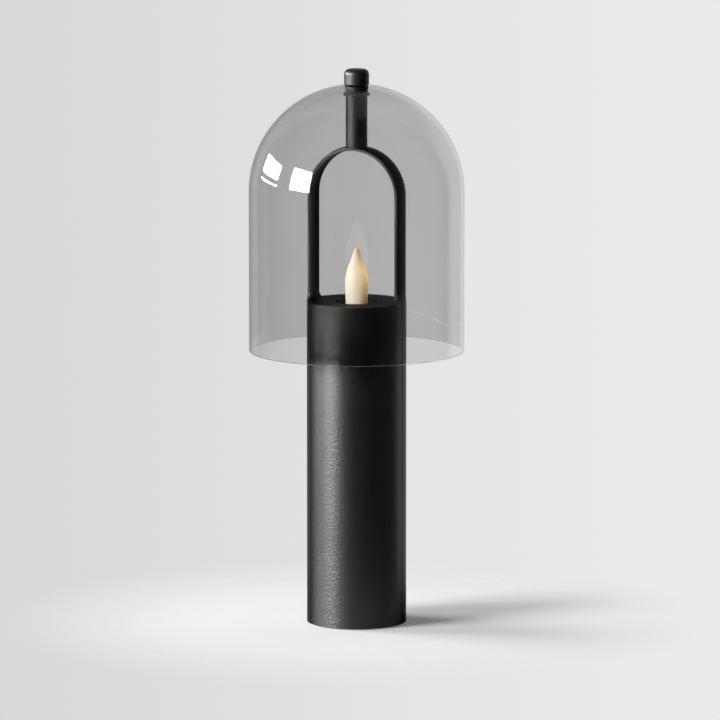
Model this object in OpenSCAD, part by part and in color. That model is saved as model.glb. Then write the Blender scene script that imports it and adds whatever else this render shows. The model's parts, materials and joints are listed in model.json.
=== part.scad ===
// Candle-style table lamp.
// The wall of a black tube runs up as two legs into an arch, a post on the arch carries a smoked glass dome,
// and a flame-shaped light stands in the mouth of the tube. Power and switch sit inside, at the back.
// Millimetres, +Z up, origin on the table at the centre of the footprint, legs along X, back towards +Y.

/* [Body] */
// Outside diameter of the tube
body_od = 64.3; // [62:0.1:72]
// Wall of the tube, of its two legs and of the arch
body_wall = 1.8; // [1.5:0.1:2.2]
// Height of the tube's rim above the table
body_rim = 210.2; // [195:0.1:240]
// Shadow gap between the tube's lower edge and the table
foot_gap = 0.6; // [0.4:0.1:1.6]
// Broken edge round the foot of the tube
edge_break = 0.4; // [0.2:0.1:0.8]

/* [Legs and arch] */
// Height of the legs, from the rim to where the arch springs
leg_h = 68.6; // [60:0.1:80]
// Width of the legs and of the arch
yoke_w = 15; // [14:0.1:18]
// Fillet between a leg and the rim
leg_fillet = 4.5; // [1:0.5:5]

/* [Post] */
// Diameter of the post
post_d = 13.9; // [12:0.1:14]
// Length of the post, from the crown of the arch to its bead
post_len = 32.1; // [26:0.1:36]
// Diameter of the bead that the glass seat stands on
bead_d = 17.1; // [15.5:0.1:18]
// Height of the bead
bead_h = 2.1; // [1.6:0.1:3]
// Diameter of the stud that the finial screws on to
stud_d = 8; // [6:0.5:8]
// Length of the stud inside the post
stud_embed = 12; // [8:0.5:14]
// Diameter of the screw that holds the post on the arch
post_screw_d = 5; // [4:0.5:6]
// Depth of that screw inside the post
post_screw_len = 10; // [6:0.5:12]
// Diameter of that screw's countersunk head
post_screw_head_d = 8.6; // [7.5:0.1:10]
// Height of that head
post_screw_head_h = 1.2; // [0.9:0.1:1.3]
// Width of the hexagon socket in that head, across its corners
post_socket_d = 3.4; // [2.5:0.1:4]
// Depth of that socket
post_socket_depth = 2; // [1.5:0.1:3]

/* [Glass] */
// Outside diameter of the dome
glass_od = 139; // [130:0.5:160]
// Wall of the dome
glass_wall = 1.6; // [1.2:0.1:2.5]
// Length of the straight skirt under the round crown
glass_skirt = 103.4; // [90:0.1:115]
// Hole in the crown
glass_hole_d = 11; // [10.5:0.1:11.5]
// Diameter of the soft seat under the crown
seat_d = 14.9; // [13.5:0.1:16]
// Height of the soft seat
seat_h = 3.3; // [2.5:0.1:5]

/* [Finial] */
// Diameter of the finial
finial_d = 16.1; // [15:0.1:18]
// Height of the finial
finial_h = 10.1; // [9:0.1:14]
// Radius round the top of the finial
finial_round = 3.4; // [1:0.1:4]
// Radius round the foot of the finial
finial_foot_round = 0.7; // [0.3:0.1:1]
// Metal left above the finial's threaded bore
finial_roof = 2.4; // [1.5:0.1:3]
// Diameter of the washer inside the finial's foot
washer_d = 12.4; // [11.5:0.1:12.6]
// Thickness of that washer
washer_h = 1.6; // [1:0.1:2.2]

/* [Flame] */
// Diameter of the flame where it swells most
flame_d = 15.1; // [12:0.1:17]
// How much narrower the flame's straight stem is
flame_waist = 1; // [0:0.1:2]
// Distance from the swelling down to the straight stem
flame_neck_h = 11; // [8:0.5:14]
// Height of the flame's tip above the tube's rim
flame_tip_h = 34.5; // [28:0.1:42]
// Distance from the tip down to where the sides run straight
flame_taper = 24; // [22:0.1:27]
// Radius of the swelling sides
flame_curve_r = 34.4; // [30:0.1:40]
// Radius of the tip
flame_tip_r = 1.8; // [1.2:0.1:2.2]
// Half angle of the slim cone below the tip
flame_tip_angle = 16.6; // [13:0.1:20]
// Wall of the hollow flame
flame_wall = 1.5; // [1:0.1:2]
// Diameter of the flange round the flame's foot
flame_flange_d = 19.6; // [19:0.1:22]
// Thickness of that flange
flame_flange_h = 1.5; // [1:0.1:2.5]
// Radius of the scoop that gives the tip its crease
scoop_r = 29.5; // [26:0.1:34]
// Depth of the scoop below the tip's own side
scoop_bite = 0.5; // [0.2:0.1:0.7]
// Height of the scoop's centre above the tip
scoop_up = 5; // [3:0.5:8]
// Direction that the scoop faces, from +X
scoop_az = -15; // [-90:1:90]

/* [Top cover and light] */
// Thickness of the cover
cover_t = 3; // [2:0.1:4]
// How far the cover lies below the rim
cover_drop = 0.2; // [0.1:0.1:1.5]
// Hole in the cover round the flame
well_d = 27; // [24:0.1:28]
// Radius round the edge of that hole
well_round = 0.8; // [0.3:0.1:1.2]
// Depth of the well under the cover
well_depth = 20.7; // [16:0.1:26]
// Wall of the well
well_wall = 1.6; // [1:0.1:2]
// Radial width of the ledge that the cover rests on
ledge_w = 4; // [2.5:0.1:4.4]
// Thickness of the ledge
ledge_t = 3; // [2:0.1:4]
// Thickness of the plate under the light
light_plate_t = 3; // [2:0.1:4]
// Diameter of the cover's three bosses, midway between the well and the ledge
boss_d = 6.5; // [5.5:0.1:7.5]
// Diameter of the screws that hold the plate on the bosses
cover_screw_d = 3; // [2.5:0.1:3.5]
// Length of those screws inside the bosses
cover_screw_len = 8; // [5:0.5:12]
// Play of the light's round board inside the well
led_play = 0.6; // [0.2:0.1:1]
// Thickness of the light's board
led_board_t = 1.2; // [0.8:0.1:1.6]
// Side of the square light chip
led_side = 3.5; // [2.5:0.1:5]
// Height of the light chip
led_h = 0.8; // [0.5:0.1:1.2]
// Height of the ring that clamps the flame's flange
retainer_h = 3; // [2:0.1:5]

/* [Base] */
// Thickness of the base plate
plate_t = 3.5; // [3:0.1:5]
// Distance of the rubber foot ring from the tube's skin
foot_inset = 3.5; // [2.8:0.1:5]
// Width of the rubber foot ring
foot_w = 5.5; // [3.5:0.1:6]
// Thickness of the rubber foot ring
foot_t = 2.5; // [2:0.1:3]
// Thickness of the ballast disc
ballast_t = 16; // [10:0.5:20]
// Thickness of the core plate that the base is screwed to
core_t = 4; // [3:0.1:6]
// Metal left between the foot ring and the seats of the three base screws
head_land = 2.2; // [1:0.1:4]
// Diameter of the base screws
base_screw_d = 4; // [3:0.5:4]
// Head diameter of the base screws
base_head_d = 7; // [6.5:0.1:7.6]
// Head height of the base screws
base_head_h = 2.2; // [1.5:0.1:2.4]

/* [Battery] */
// Diameter of a battery cell
cell_d = 18.4; // [17:0.1:18.6]
// Length of a battery cell
cell_l = 65; // [50:0.5:70]
// Diameter of the button on a cell's end
cell_nub_d = 6; // [4:0.1:8]
// Height of that button
cell_nub_h = 1; // [0.6:0.1:1.5]
// Walls of the battery holder
holder_wall = 1.8; // [1.2:0.1:2]
// How far the cells stand in front of the lamp's axis
cell_front = 6; // [5:0.5:8]
// How far the holder's sides reach round the cells, past their middle
holder_grip = 3; // [1:0.5:5]
// Radius of the battery lead's loop
lead_loop_r = 7; // [5:0.5:7.5]
// Straight length of the battery lead under its loop
lead_stub = 1; // [0.5:0.5:4]
// Diameter of the leads
lead_d = 2.2; // [1.5:0.1:2.6]

/* [Driver board and switch] */
// Width of the driver board
board_w = 30; // [28:0.5:34]
// Height of the driver board
board_h = 62; // [58:0.5:66]
// Thickness of the driver board
board_t = 1.6; // [1:0.1:2]
// Distance from the driver board to the inside of the tube
board_inset = 9.6; // [9:0.1:11]
// Distance of the board's lower edge above the core plate
board_lift = 2; // [1:0.5:6]
// Diameter of the pillars that carry the board
pillar_d = 5; // [4:0.1:6]
// Distance of the pillars from the board's edges
pillar_in = 4; // [3.5:0.1:5]
// Diameter of the board screws
board_screw_d = 2.5; // [2:0.1:3]
// Height of the charging inlet above the core plate
inlet_lift = 12; // [8:0.5:16]
// Width of the charging inlet's shell
inlet_w = 8.94; // [8:0.01:10]
// Height of the charging inlet's shell
inlet_h = 3.26; // [3:0.01:4]
// Wall of the charging inlet's shell
inlet_wall = 0.3; // [0.2:0.05:0.4]
// Depth of the charging inlet's mouth
inlet_depth = 6.6; // [5:0.1:8]
// How far the charging inlet lies inside the tube's skin
inlet_recess = 0.6; // [0.2:0.1:1]
// Width of the contact tongue in the inlet
tongue_w = 6.7; // [6:0.1:7]
// Thickness of the contact tongue
tongue_t = 0.7; // [0.5:0.1:1]
// Height of the push button above the charging inlet
button_up = 20; // [14:0.5:24]
// Diameter of the push button
button_d = 8; // [6:0.1:10]
// How far the push button stands out of the tube
button_out = 1; // [0.9:0.1:2]
// Travel of the push button
button_travel = 0.8; // [0.3:0.1:0.8]
// Side of the switch body
switch_side = 6.2; // [5:0.1:8]
// Height of the switch body off the board
switch_h = 3.8; // [3.5:0.1:4]
// Diameter of the switch plunger
plunger_d = 3.4; // [2.5:0.1:4]

/* [Clearances] */
// Gap round a piece that is fixed in its place
slip_gap = 0.1; // [0.05:0.01:0.2]
// Gap between moving or curved pieces
free_gap = 0.3; // [0.2:0.05:0.4]
// Running clearance of the finial on its stud and of the push button
run_gap = 0.05; // [0.02:0.01:0.1]

/* [Hidden] */
$fn = 96;

body_r = body_od / 2;
bore_r = body_r - body_wall;

// Heights of the yoke, the post and the glass
spring_z = body_rim + leg_h;
crown_z = spring_z + body_r;
post_sink_d = post_screw_head_d + 2 * slip_gap;
post_head_z = spring_z + sqrt(pow(bore_r, 2) - pow(post_sink_d / 2, 2)) + slip_gap;
bead_z = crown_z + post_len;
seat_z = bead_z + bead_h;
seat_top = seat_z + seat_h;
glass_r = glass_od / 2;
glass_in_r = glass_r - glass_wall;
glass_hole_r = glass_hole_d / 2;
glass_cz = seat_top + slip_gap - sqrt(pow(glass_in_r, 2) - pow(seat_d / 2, 2));
glass_rim = glass_cz - glass_skirt;
function glass_top(r) = glass_cz + sqrt(pow(glass_r, 2) - pow(r, 2));

// Heights of the finial
finial_z = glass_top(finial_d / 2) + free_gap;
washer_z = glass_top(glass_hole_r) + free_gap;
finial_top = finial_z + finial_h;
stud_top = finial_top - finial_roof - free_gap;

// Heights of the light
flame_stem_d = flame_d - flame_waist;
cover_top = body_rim - cover_drop;
cover_z = cover_top - cover_t;
plate_top = cover_z - well_depth;
flange_z = plate_top + led_board_t;
retainer_z = flange_z + flame_flange_h;
tip_z = body_rim + flame_tip_h;
shoulder_z = tip_z - flame_taper;
neck_z = shoulder_z - flame_neck_h;
well_in_r = well_d / 2 + slip_gap;
ledge_in_r = bore_r - slip_gap - ledge_w;
boss_pcd = well_in_r + well_wall + ledge_in_r;
light_plate_d = boss_pcd + boss_d;
led_board_d = 2 * (well_in_r - led_play);

// Heights of the base and of the power parts
foot_od = body_od - 2 * foot_inset;
foot_id = foot_od - 2 * foot_w;
base_pcd = foot_id - base_head_d - 2 * (free_gap + head_land);
plate_z = foot_gap;
ballast_z = plate_z + plate_t;
core_z = ballast_z + ballast_t;
core_top = core_z + core_t;
cell_pitch = cell_d + holder_wall;
pocket_d = cell_d + 2 * slip_gap;
cell_z = core_top + holder_wall;
holder_w = cell_pitch + pocket_d + 2 * holder_wall;
holder_back = pocket_d / 2 + holder_wall - cell_front;
holder_front = -cell_front - holder_grip;
holder_top = cell_z + cell_l + cell_nub_h + slip_gap + holder_wall;
board_y = bore_r - board_inset;
board_z = core_top + board_lift;
board_top = board_z + board_h;
inlet_z = core_top + inlet_lift;
button_z = inlet_z + button_up;

// The push button's parts along Y
button_rim_d = button_d + 2.4;
button_rim_t = 1;
button_rim_y = sqrt(pow(bore_r, 2) - pow(button_rim_d / 2, 2)) - free_gap;
button_back = button_rim_y - button_rim_t;
plunger_back = board_y + switch_h - button_travel - free_gap;

// Plugs of the leads on the driver board
plug_w = 6;
plug_d = 4.5;
plug_h = 8;
plug_x = 5;
plug_y = board_y - board_t - plug_d / 2;

// Parts on the driver board: a control chip, a choke and a capacitor, in a block below its top edge
parts_drop = 18;
chip_size = [6, 1.2, 7];
choke_size = [6, 4, 7];
parts_gap = 4;
capacitor_d = 6.3;
capacitor_h = 5.5;

coat = "#1d1d1e";
soft_black = "#151515";
steel = "#9a9a98";

// A plain round tube standing on z = 0
module pipe(od, id, h) {
    difference() {
        cylinder(d = od, h = h);
        translate([0, 0, -h]) cylinder(d = id, h = 3 * h);
    }
}

// Three copies on a pitch circle
module on_circle(pcd, start = 90) {
    for (i = [0:2]) {
        rotate([0, 0, start + i * 120]) translate([pcd / 2, 0, 0]) children();
    }
}

// A bar along +Y from y0 to y1
module bar_y(d, y0, y1) {
    translate([0, y0, 0]) rotate([-90, 0, 0]) cylinder(d = d, h = y1 - y0);
}

// A flat outline with round ends, standing in the XZ plane and drawn out along +Y
module slot_y(w, h, y0, y1) {
    translate([0, y1, 0]) rotate([90, 0, 0]) linear_extrude(height = y1 - y0) {
        square([w - h, h], center = true);
        translate([(w - h) / 2, 0]) circle(d = h);
        translate([(h - w) / 2, 0]) circle(d = h);
    }
}

// A screw pointing up, its head's bearing face on z = 0
module screw_up(d, length, head_d, head_h) {
    cylinder(d = d, h = length);
    translate([0, 0, -head_h]) difference() {
        cylinder(d = head_d, h = head_h);
        translate([0, 0, -head_h / 2]) cylinder(d = d * 0.8, h = head_h, $fn = 6);
    }
}

// Outline, seen along X, of what is cut away beside the legs on one side
module beside_legs() {
    difference() {
        translate([yoke_w / 2, body_rim]) square([body_od, leg_h + body_od]);
        translate([yoke_w / 2, body_rim]) difference() {
            square(leg_fillet);
            translate([leg_fillet, leg_fillet]) circle(r = leg_fillet);
        }
    }
}

module body_tube() {
    color(coat) difference() {
        rotate_extrude() difference() {
            translate([bore_r, foot_gap]) square([body_wall, spring_z - foot_gap]);
            translate([body_r, foot_gap]) rotate(45) square(edge_break * sqrt(2), center = true);
        }
        for (side = [0, 1]) {
            mirror([0, side, 0]) translate([-body_od, 0, 0]) rotate([90, 0, 90])
                linear_extrude(height = 2 * body_od) beside_legs();
        }
        translate([0, 0, inlet_z]) slot_y(inlet_w + 2 * free_gap, inlet_h + 2 * free_gap, bore_r / 2, body_od);
        translate([0, 0, button_z]) bar_y(button_d + 2 * run_gap, bore_r / 2, body_od);
    }
}

// The arch turns the legs' own curved section over the top
module yoke_arch() {
    color(coat) translate([0, 0, spring_z]) difference() {
        rotate([90, 0, 0]) rotate_extrude(angle = 180) intersection() {
            difference() {
                circle(r = body_r);
                circle(r = bore_r);
            }
            translate([0, -yoke_w / 2]) square([body_od, yoke_w]);
        }
        cylinder(d = post_screw_d + 2 * slip_gap, h = body_od);
        cylinder(d = post_sink_d, h = post_head_z - spring_z);
        translate([0, 0, post_head_z - spring_z])
            cylinder(d1 = post_sink_d, d2 = post_screw_d + 2 * slip_gap, h = post_screw_head_h);
    }
}

module post() {
    color(coat) difference() {
        rotate_extrude() {
            translate([0, crown_z - post_d / 4]) square([post_d / 2, post_len + post_d / 4 + bead_h / 2]);
            translate([0, bead_z]) square([(bead_d - bead_h) / 2, bead_h]);
            translate([(bead_d - bead_h) / 2, bead_z + bead_h / 2]) intersection() {
                circle(d = bead_h);
                translate([-bead_h / 4, -bead_h]) square(2 * bead_h);
            }
        }
        translate([0, 0, spring_z]) sphere(r = body_r);
        translate([0, 0, crown_z - post_d]) cylinder(d = post_screw_d, h = post_d + post_screw_len);
        translate([0, 0, seat_z - stud_embed]) cylinder(d = stud_d, h = stud_embed + bead_h);
    }
}

// Countersunk screw from under the arch into the post, its head flush with the arch
module post_screw() {
    color(steel) translate([0, 0, post_head_z]) difference() {
        union() {
            cylinder(d = post_screw_d, h = crown_z + post_screw_len - post_head_z);
            cylinder(d1 = post_screw_head_d, d2 = post_screw_d, h = post_screw_head_h);
        }
        translate([0, 0, -post_socket_depth]) cylinder(d = post_socket_d, h = 2 * post_socket_depth, $fn = 6);
    }
}

module finial_stud() {
    tip = stud_d / 10;
    color(steel) rotate_extrude() translate([0, seat_z - stud_embed]) polygon([
        [0, 0],
        [stud_d / 2, 0],
        [stud_d / 2, stud_top - tip - seat_z + stud_embed],
        [stud_d / 2 - tip, stud_top - seat_z + stud_embed],
        [0, stud_top - seat_z + stud_embed]
    ]);
}

// Soft seat under the crown, with a sleeve that lines the hole in the glass
module glass_seat() {
    sleeve_r = glass_hole_r - slip_gap;
    bore = stud_d / 2 + free_gap;
    color(soft_black) rotate_extrude() translate([0, seat_z]) {
        translate([bore, 0]) square([seat_d / 2 - bore, seat_h]);
        translate([bore, 0]) square([sleeve_r - bore, glass_top(glass_hole_r) - seat_z]);
    }
}

module glass_dome() {
    color([0.35, 0.35, 0.36, 0.4]) rotate_extrude() {
        difference() {
            union() {
                translate([0, glass_cz]) circle(r = glass_r);
                translate([0, glass_rim + glass_wall / 2]) square([glass_r, glass_skirt - glass_wall / 2]);
            }
            translate([0, glass_cz]) circle(r = glass_in_r);
            translate([0, glass_rim - glass_od]) square([glass_in_r, glass_skirt + glass_od]);
            translate([0, glass_cz]) square([glass_hole_r, glass_od]);
            translate([-glass_od, glass_rim - glass_od]) square([glass_od, 4 * glass_od]);
        }
        translate([glass_r - glass_wall / 2, glass_rim + glass_wall / 2]) circle(d = glass_wall);
    }
}

module finial_washer() {
    color(soft_black) translate([0, 0, washer_z]) pipe(washer_d, stud_d + 2 * free_gap, washer_h);
}

module finial() {
    flat_r = finial_d / 2 - finial_round;
    foot_r = finial_d / 2 - finial_foot_round;
    color(coat) rotate_extrude() difference() {
        translate([0, finial_z]) {
            square([flat_r, finial_h]);
            square([foot_r, finial_h - finial_round]);
            translate([0, finial_foot_round]) square([finial_d / 2, finial_h - finial_round - finial_foot_round]);
            translate([flat_r, finial_h - finial_round]) intersection() {
                circle(r = finial_round);
                square(finial_round);
            }
            translate([foot_r, finial_foot_round]) intersection() {
                circle(r = finial_foot_round);
                translate([0, -finial_foot_round]) square(finial_foot_round);
            }
        }
        translate([0, washer_z - finial_h]) square([washer_d / 2 + free_gap, finial_h + washer_h + slip_gap]);
        translate([0, finial_z]) square([stud_d / 2 + run_gap, finial_h - finial_roof]);
    }
}

// Ledge fixed inside the tube, under the cover
module cover_ledge() {
    color(coat) translate([0, 0, cover_z - ledge_t])
        pipe(2 * (bore_r - slip_gap), 2 * ledge_in_r, ledge_t);
}

// Disc that closes the tube round the flame, with three bosses underneath
module top_cover() {
    edge_r = well_d / 2 + well_round;
    color("#262627") {
        rotate_extrude() translate([0, cover_z]) {
            translate([well_d / 2, 0]) square([bore_r - slip_gap - well_d / 2, cover_t - well_round]);
            translate([edge_r, 0]) square([bore_r - slip_gap - edge_r, cover_t]);
            translate([edge_r, cover_t - well_round]) intersection() {
                circle(r = well_round);
                translate([-well_round, 0]) square(well_round);
            }
        }
        on_circle(boss_pcd) translate([0, 0, plate_top])
            pipe(boss_d, cover_screw_d, well_depth + cover_t / 2);
    }
}

module flame_well() {
    color(soft_black) translate([0, 0, plate_top])
        pipe(2 * (well_in_r + well_wall), 2 * well_in_r, well_depth);
}

// Right half of the flame's outline, drawn in by inset
module flame_outline(inset) {
    stem_r = flame_stem_d / 2 - inset;
    tip_r = max(flame_tip_r - inset, 0);
    touch_x = flame_tip_r * cos(flame_tip_angle);
    touch_z = tip_z - flame_tip_r + flame_tip_r * sin(flame_tip_angle);
    cone_h = flame_taper / 2.2;
    translate([0, flange_z]) square([stem_r, neck_z - flange_z]);
    polygon([
        [0, neck_z],
        [stem_r, neck_z],
        [flame_d / 2 - inset, shoulder_z],
        [0, shoulder_z]
    ]);
    intersection() {
        translate([flame_d / 2 - flame_curve_r, shoulder_z]) circle(r = flame_curve_r - inset);
        translate([0, shoulder_z]) square([flame_d, flame_taper]);
    }
    if (tip_r > 0) {
        polygon([
            [0, touch_z],
            [touch_x, touch_z],
            [touch_x + cone_h * tan(flame_tip_angle), touch_z - cone_h],
            [0, touch_z - cone_h]
        ]);
        translate([0, tip_z - flame_tip_r]) intersection() {
            circle(r = flame_tip_r);
            square([flame_tip_r, flame_tip_r]);
        }
    }
}

// Hollow flame with a scoop beside the tip and a flange round the foot
module flame_diffuser() {
    scoop_x = flame_tip_r - scoop_bite + sqrt(pow(scoop_r, 2) - pow(scoop_up + flame_tip_r, 2));
    color("#f2e2c4") difference() {
        union() {
            rotate_extrude() flame_outline(0);
            translate([0, 0, flange_z]) cylinder(d = flame_flange_d, h = flame_flange_h);
        }
        rotate_extrude() difference() {
            flame_outline(flame_wall);
            translate([0, shoulder_z + flame_taper * 0.6]) square(flame_d);
        }
        translate([0, 0, flange_z - flame_flange_h]) cylinder(d = flame_stem_d - 2 * flame_wall, h = 2 * flame_flange_h);
        rotate([0, 0, scoop_az]) translate([scoop_x, -flame_d, tip_z + scoop_up])
            bar_y(2 * scoop_r, 0, 2 * flame_d);
    }
}

module flame_retainer() {
    color(soft_black) translate([0, 0, retainer_z])
        pipe(2 * (well_in_r - slip_gap), flame_d + 2 * slip_gap, retainer_h);
}

module led_board() {
    color("#e8e8e4") translate([0, 0, plate_top]) cylinder(d = led_board_d, h = led_board_t);
}

module led_chip() {
    color("#f4d35e") translate([-led_side / 2, -led_side / 2, flange_z]) cube([led_side, led_side, led_h]);
}

// Where the lamp lead comes up through the light plate
lead_hole_y = led_board_d / 4;

module light_plate() {
    color("#b9bbbd") translate([0, 0, plate_top - light_plate_t]) difference() {
        cylinder(d = light_plate_d, h = light_plate_t);
        on_circle(boss_pcd) translate([0, 0, -light_plate_t])
            cylinder(d = cover_screw_d + 2 * slip_gap, h = 3 * light_plate_t);
        translate([0, lead_hole_y, -light_plate_t]) cylinder(d = lead_d + 2 * free_gap, h = 3 * light_plate_t);
    }
}

module cover_screws() {
    color(steel) on_circle(boss_pcd) translate([0, 0, plate_top - light_plate_t])
        screw_up(cover_screw_d, light_plate_t + cover_screw_len, 1.8 * cover_screw_d, 0.6 * cover_screw_d);
}

// Disc fixed inside the tube, which the base is screwed to and the battery stands on
module core_plate() {
    color("#8d8f92") translate([0, 0, core_z]) difference() {
        cylinder(r = bore_r - slip_gap, h = core_t);
        on_circle(base_pcd) translate([0, 0, -core_t]) cylinder(d = base_screw_d, h = 3 * core_t);
    }
}

// Places of the pillars behind the battery holder, at the driver board's corners
module at_pillars() {
    for (x = [-1, 1], z = [board_z + pillar_in, min(board_top, holder_top) - pillar_in]) {
        translate([x * (board_w / 2 - pillar_in), 0, z]) children();
    }
}

module battery_holder() {
    color("#222224") difference() {
        union() {
            translate([-holder_w / 2, holder_front, core_top])
                cube([holder_w, holder_back - holder_front, holder_top - core_top]);
            at_pillars() bar_y(pillar_d, holder_back - holder_wall, board_y - board_t);
        }
        for (x = [-1, 1]) {
            translate([x * cell_pitch / 2, -cell_front, cell_z])
                cylinder(d = pocket_d, h = holder_top - holder_wall - cell_z);
        }
        at_pillars() bar_y(board_screw_d, holder_back, board_y);
    }
}

module battery_cells() {
    color("#3f6f9c") for (x = [-1, 1]) {
        translate([x * cell_pitch / 2, -cell_front, cell_z]) {
            cylinder(d = cell_d, h = cell_l);
            cylinder(d = cell_nub_d, h = cell_l + cell_nub_h);
        }
    }
}

// Loop from the top of the battery holder over to its plug on the board
module battery_lead() {
    loop_z = max(holder_top, board_top) + lead_stub;
    color("#b3261e") translate([-plug_x, plug_y - lead_loop_r, loop_z]) {
        rotate([90, 0, 90]) rotate_extrude(angle = 180) translate([lead_loop_r, 0]) circle(d = lead_d);
        translate([0, -lead_loop_r, holder_top - loop_z]) cylinder(d = lead_d, h = loop_z - holder_top);
        translate([0, lead_loop_r, board_top - loop_z]) cylinder(d = lead_d, h = loop_z - board_top);
    }
}

module driver_board() {
    color("#2e6b45") difference() {
        translate([-board_w / 2, board_y - board_t, board_z]) cube([board_w, board_t, board_h]);
        at_pillars() bar_y(board_screw_d + 2 * slip_gap, holder_back, body_od);
    }
}

module board_screws() {
    color(steel) at_pillars() {
        bar_y(board_screw_d, board_y - board_t - 2 * board_screw_d, board_y);
        bar_y(2 * board_screw_d, board_y, board_y + 0.7 * board_screw_d);
    }
}

// Lead plugs on the inner face; control chip, choke and capacitor on the outer face
module board_parts() {
    parts_z = board_top - parts_drop;
    color("#2b2b2d") {
        for (x = [-1, 1]) {
            translate([x * plug_x - plug_w / 2, plug_y - plug_d / 2, board_top - plug_h])
                cube([plug_w, plug_d, plug_h]);
        }
        translate([-parts_gap / 2 - chip_size[0], board_y, parts_z]) cube(chip_size);
        translate([parts_gap / 2, board_y, parts_z]) cube(choke_size);
        translate([0, 0, parts_z + chip_size[2] + parts_gap / 2 + capacitor_d / 2])
            bar_y(capacitor_d, board_y, board_y + capacitor_h);
    }
}

// Shell of the flat charging inlet
module charge_inlet() {
    mouth_y = body_r - inlet_recess;
    color("#a8a9ab") translate([0, 0, inlet_z]) difference() {
        slot_y(inlet_w, inlet_h, board_y, mouth_y);
        slot_y(inlet_w - 2 * inlet_wall, inlet_h - 2 * inlet_wall, mouth_y - inlet_depth, mouth_y + inlet_depth);
    }
}

module inlet_tongue() {
    mouth_y = body_r - inlet_recess;
    color(soft_black) translate([-tongue_w / 2, mouth_y - inlet_depth, inlet_z - tongue_t / 2])
        cube([tongue_w, inlet_depth - free_gap, tongue_t]);
}

module switch_body() {
    color("#2b2b2d") translate([0, 0, button_z]) difference() {
        translate([-switch_side / 2, board_y, -switch_side / 2]) cube([switch_side, switch_h, switch_side]);
        bar_y(plunger_d + 2 * run_gap, plunger_back - button_travel - free_gap, body_od);
    }
}

module switch_plunger() {
    color("#d8d8d4") translate([0, 0, button_z]) bar_y(plunger_d, plunger_back, button_back);
}

// Button that passes through the tube's wall, held in by a rim
module push_button() {
    crown = button_d / 10;
    color(coat) translate([0, 0, button_z]) rotate([-90, 0, 0]) rotate_extrude() polygon([
        [0, button_back],
        [button_rim_d / 2, button_back],
        [button_rim_d / 2, button_rim_y],
        [button_d / 2, button_rim_y],
        [button_d / 2, body_r + button_out - crown],
        [button_d / 2 - crown, body_r + button_out],
        [0, body_r + button_out]
    ]);
}

// Route of the lamp lead, from its plug on the board up to the light's board
lead_from = [plug_x, plug_y, board_top];
lead_to = [0, lead_hole_y, plate_top];
lead_rise = (plate_top - board_top) / 2;
lead_rings = 24;
lead_sides = 8;
function lead_at(t) = pow(1 - t, 3) * lead_from + 3 * pow(1 - t, 2) * t * (lead_from + [0, 0, lead_rise])
    + 3 * (1 - t) * pow(t, 2) * (lead_to - [0, 0, lead_rise]) + pow(t, 3) * lead_to;
function unit(v) = v / norm(v);
function lead_dir(t) = (t == 0 || t == 1) ? [0, 0, 1] : unit(lead_at(t + 0.01) - lead_at(t - 0.01));
function lead_side(t) = unit(cross([0, 1, 0], lead_dir(t)));
function lead_back(t) = cross(lead_dir(t), lead_side(t));
function ring_point(t, a) = lead_at(t) + lead_d / 2 * (cos(a) * lead_side(t) + sin(a) * lead_back(t));

module lamp_lead() {
    points = [for (i = [0:lead_rings], j = [0:lead_sides - 1]) ring_point(i / lead_rings, j * 360 / lead_sides)];
    sides = [for (i = [0:lead_rings - 1], j = [0:lead_sides - 1]) let (k = (j + 1) % lead_sides) each [
        [i * lead_sides + j, (i + 1) * lead_sides + k, i * lead_sides + k],
        [i * lead_sides + j, (i + 1) * lead_sides + j, (i + 1) * lead_sides + k]
    ]];
    ends = [
        [for (j = [0:lead_sides - 1]) j],
        [for (j = [lead_sides - 1:-1:0]) lead_rings * lead_sides + j]
    ];
    color("#b3261e") polyhedron(points = points, faces = concat(sides, ends));
}

// Base plate with a groove for the foot ring and sunk seats for the screw heads
module base_plate() {
    color("#2a2a2b") difference() {
        translate([0, 0, plate_z]) cylinder(r = bore_r - slip_gap, h = plate_t);
        difference() {
            cylinder(d = foot_od + 2 * slip_gap, h = foot_t);
            translate([0, 0, -foot_t]) cylinder(d = foot_id - 2 * slip_gap, h = 3 * foot_t);
        }
        on_circle(base_pcd) {
            cylinder(d = base_screw_d + 2 * slip_gap, h = 2 * ballast_z);
            translate([0, 0, plate_z - base_head_h]) cylinder(d = base_head_d + 2 * free_gap, h = 2 * base_head_h);
        }
    }
}

module ballast() {
    color("#6f7173") translate([0, 0, ballast_z]) difference() {
        cylinder(r = bore_r - 2 * free_gap, h = ballast_t);
        on_circle(base_pcd) translate([0, 0, -ballast_t])
            cylinder(d = base_screw_d + 2 * slip_gap, h = 3 * ballast_t);
    }
}

module base_screws() {
    color(steel) on_circle(base_pcd) translate([0, 0, plate_z + base_head_h])
        screw_up(base_screw_d, core_top - plate_z - base_head_h, base_head_d, base_head_h);
}

module foot_ring() {
    color(soft_black) pipe(foot_od, foot_id, foot_t);
}

body_tube();
yoke_arch();
post();
post_screw();
finial_stud();
glass_seat();
glass_dome();
finial_washer();
finial();
cover_ledge();
top_cover();
flame_well();
flame_diffuser();
flame_retainer();
led_board();
led_chip();
light_plate();
cover_screws();
core_plate();
battery_holder();
battery_cells();
battery_lead();
driver_board();
board_screws();
board_parts();
charge_inlet();
inlet_tongue();
switch_body();
switch_plunger();
push_button();
lamp_lead();
base_plate();
ballast();
base_screws();
foot_ring();
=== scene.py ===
import json
import math

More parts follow.
